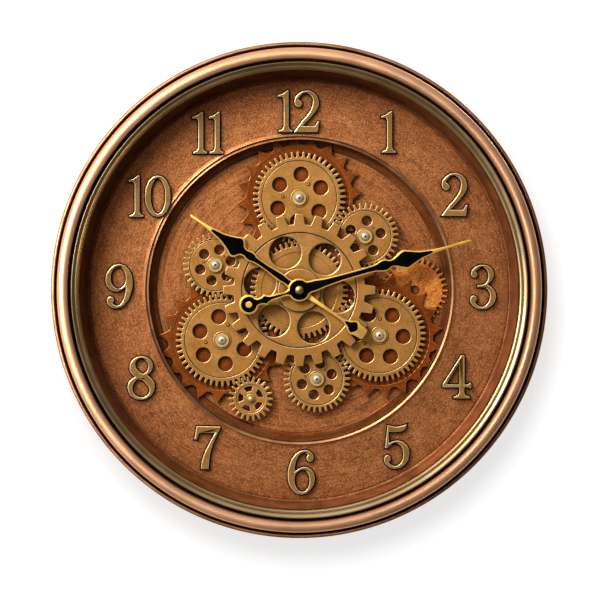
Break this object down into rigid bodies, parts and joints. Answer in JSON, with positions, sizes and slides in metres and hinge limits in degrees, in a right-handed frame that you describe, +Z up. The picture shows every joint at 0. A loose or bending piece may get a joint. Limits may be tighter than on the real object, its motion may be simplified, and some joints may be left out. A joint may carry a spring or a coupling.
{
  "type": "gear wall clock",
  "caption": "Round wall clock in a deep copper frame, with raised Arabic numerals, spade hands and an open train of meshed gears that turns behind them.",
  "frame": {"origin": "middle of the clock on the wall plane, where the centre arbor's axis meets the wall", "axes": "+Y into the wall, so the dial faces -Y; +Z up towards the 12; +X to the right towards the 3 as seen from the front"},
  "size_m": [0.4, 0.06, 0.4],
  "materials": {
    "antique_copper": "brushed and darkened",
    "polished_copper": "glossy metallic",
    "antique_gold": "antique gold",
    "burnt_copper": "burnt copper",
    "numeral_bronze": "satin bronze",
    "hand_gold": "gold with black inlay",
    "steel": "polished",
    "brass": "turned",
    "black_plastic": "fine grain",
    "battery_sleeve": "printed sleeve"
  },
  "bodies": {
    "clock": {"frame_ring": "polished_copper", "bezel_ring": "antique_gold", "dial_ring": "antique_copper", "gear_plate": "antique_copper", "back_cover": "black_plastic", "movement_case": "black_plastic", "movement_battery": "battery_sleeve", "movement_bushing": "brass", "bushing_nut": "brass", "gear_motor_case": "black_plastic", "gear_motor_battery": "battery_sleeve", "rear_copper_gear": "burnt_copper", "top_gear_post": "brass", "lower_left_gear_post": "brass", "upper_right_gear_post": "brass", "left_gear_post": "brass", "bottom_gear_post": "brass", "tiny_gear_pin": "brass", "top_gear_screw": "steel", "lower_left_gear_screw": "steel", "upper_right_gear_screw": "steel", "left_gear_screw": "steel", "bottom_gear_screw": "steel", "numeral_1": "numeral_bronze", "numeral_2": "numeral_bronze", "numeral_3": "numeral_bronze", "numeral_4": "numeral_bronze", "numeral_5": "numeral_bronze", "numeral_6": "numeral_bronze", "numeral_7": "numeral_bronze", "numeral_8": "numeral_bronze", "numeral_9": "numeral_bronze", "numeral_10_digit_1": "numeral_bronze", "numeral_10_digit_2": "numeral_bronze", "numeral_11_digit_1": "numeral_bronze", "numeral_11_digit_2": "numeral_bronze", "numeral_12_digit_1": "numeral_bronze", "numeral_12_digit_2": "numeral_bronze"},
    "centre_wheel": {"centre_drive_gear": "antique_gold", "centre_gear": "antique_gold", "centre_hub_disc": "antique_gold"},
    "top_wheel": {"top_gear": "antique_gold", "top_star_gear": "burnt_copper"},
    "lower_left_wheel": {"lower_left_gear": "antique_gold", "lower_left_star_gear": "burnt_copper"},
    "right_wheel": {"right_gear": "antique_gold", "right_star_gear": "burnt_copper", "motor_shaft": "steel", "right_gear_screw": "steel"},
    "upper_right_wheel": {"upper_right_gear": "antique_gold"},
    "left_wheel": {"left_gear": "antique_gold"},
    "bottom_wheel": {"bottom_gear": "antique_gold"},
    "tiny_wheel": {"tiny_gear": "antique_gold"},
    "minute": {"minute_arbor": "steel", "minute_hand": "hand_gold", "hand_cap": "hand_gold"},
    "hour": {"hour_pipe": "brass", "hour_hand": "hand_gold"},
    "setting": {"setting_knob": "black_plastic"}
  },
  "joints": [
    {"name": "centre_turn", "type": "hinge", "parent": "clock", "child": "centre_wheel", "pos_m": [0, -0.0285, 0], "axis": [0, 1, 0], "continuous": true},
    {"name": "top_turn", "type": "hinge", "parent": "clock", "child": "top_wheel", "pos_m": [0, -0.0285, 0.0746], "axis": [0, 1, 0], "continuous": true},
    {"name": "lower_left_turn", "type": "hinge", "parent": "clock", "child": "lower_left_wheel", "pos_m": [-0.06256, -0.0285, -0.04063], "axis": [0, 1, 0], "continuous": true},
    {"name": "right_turn", "type": "hinge", "parent": "clock", "child": "right_wheel", "pos_m": [0.06493, -0.0285, -0.03673], "axis": [0, 1, 0], "continuous": true},
    {"name": "upper_right_turn", "type": "hinge", "parent": "clock", "child": "upper_right_wheel", "pos_m": [0.05343, -0.0285, 0.04344], "axis": [0, 1, 0], "continuous": true},
    {"name": "left_turn", "type": "hinge", "parent": "clock", "child": "left_wheel", "pos_m": [-0.068, -0.0285, 0.02023], "axis": [0, 1, 0], "continuous": true},
    {"name": "bottom_turn", "type": "hinge", "parent": "clock", "child": "bottom_wheel", "pos_m": [0.01426, -0.0285, -0.07221], "axis": [0, 1, 0], "continuous": true},
    {"name": "tiny_turn", "type": "hinge", "parent": "clock", "child": "tiny_wheel", "pos_m": [-0.0394, -0.0285, -0.08813], "axis": [0, 1, 0], "continuous": true},
    {"name": "minute_turn", "type": "hinge", "parent": "clock", "child": "minute", "pos_m": [0, -0.0456, 0], "axis": [0, 1, 0], "continuous": true},
    {"name": "hour_turn", "type": "hinge", "parent": "clock", "child": "hour", "pos_m": [0, -0.0426, 0], "axis": [0, 1, 0], "continuous": true},
    {"name": "setting_turn", "type": "hinge", "parent": "clock", "child": "setting", "pos_m": [0, -0.0012, 0.01], "axis": [0, 1, 0], "continuous": true}
  ],
  "couplings": [
    {"joint": "top_turn", "follows": "centre_turn", "ratio": -1.0625},
    {"joint": "lower_left_turn", "follows": "centre_turn", "ratio": -1.0625},
    {"joint": "right_turn", "follows": "centre_turn", "ratio": -1.0625},
    {"joint": "upper_right_turn", "follows": "centre_turn", "ratio": 1.5},
    {"joint": "left_turn", "follows": "centre_turn", "ratio": 1.5455},
    {"joint": "bottom_turn", "follows": "centre_turn", "ratio": 1.5},
    {"joint": "tiny_turn", "follows": "centre_turn", "ratio": 2.3182},
    {"joint": "hour_turn", "follows": "minute_turn", "ratio": 0.083333},
    {"joint": "setting_turn", "follows": "minute_turn", "ratio": 3}
  ]
}
